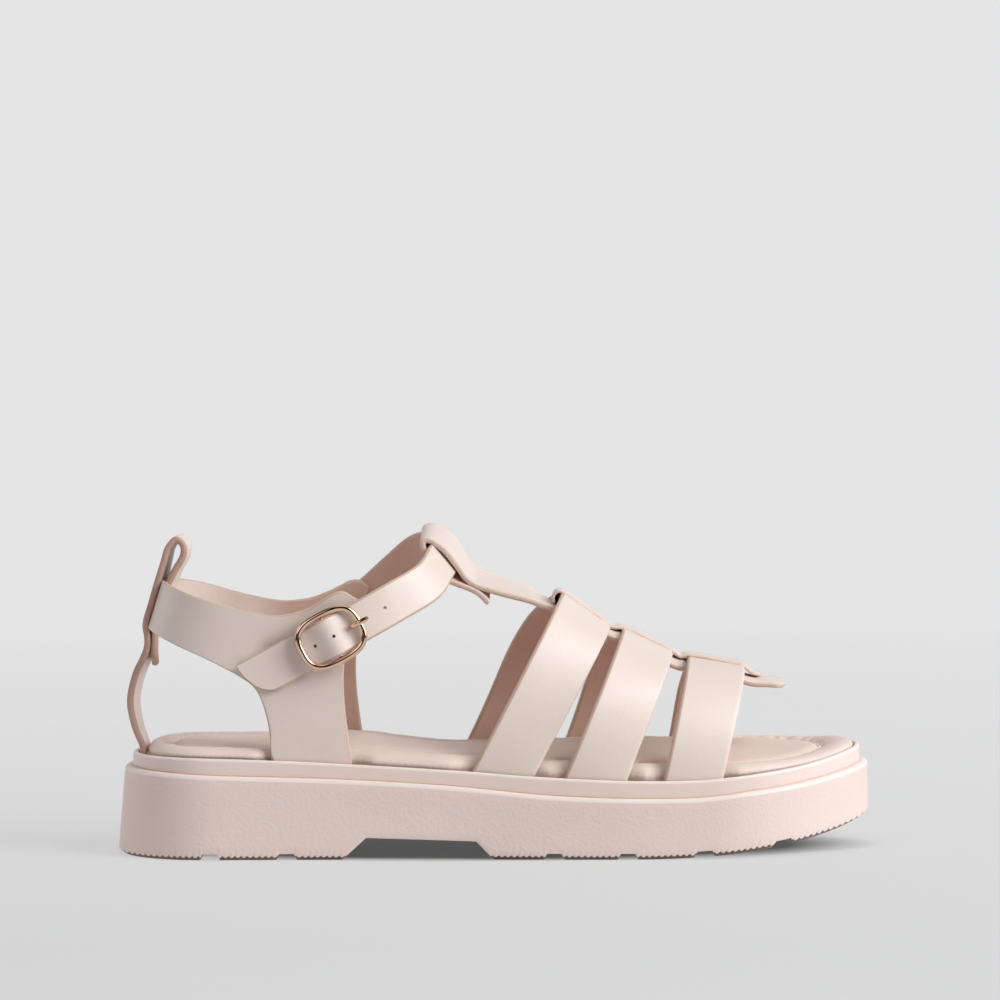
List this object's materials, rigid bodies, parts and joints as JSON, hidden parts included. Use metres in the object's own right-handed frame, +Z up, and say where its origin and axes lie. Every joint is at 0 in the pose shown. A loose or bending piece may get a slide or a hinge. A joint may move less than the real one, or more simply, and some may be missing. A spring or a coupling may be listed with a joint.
{
  "type": "platform sandal",
  "caption": "Open platform sandal with broad vamp straps, a folded middle strap, a buckled ankle strap, a heel loop, a padded footbed and a thick grained sole.",
  "frame": {"origin": "middle of the bounding box on the floor plane, under the arch of the sole", "axes": "+X points to the toe, +Y to the medial side of a right foot, +Z up"},
  "size_m": [0.262, 0.0963, 0.1128],
  "materials": {
    "sole_rubber": "matte blush foam rubber with a pebble grain",
    "rim_rubber": "smooth blush foam rubber, low sheen",
    "footbed_leather": "soft padded leather, slightly puckered",
    "upper_leather": "smooth blush leather, half gloss, cut edges a shade browner",
    "buckle_metal": "polished rose-gold plate"
  },
  "bodies": {
    "root": {"outsole": "sole_rubber", "midsole": "rim_rubber", "insole": "footbed_leather", "upper": "upper_leather", "buckle_strap": "upper_leather", "buckle_frame": "buckle_metal", "buckle_prong": "buckle_metal"}
  },
  "joints": []
}
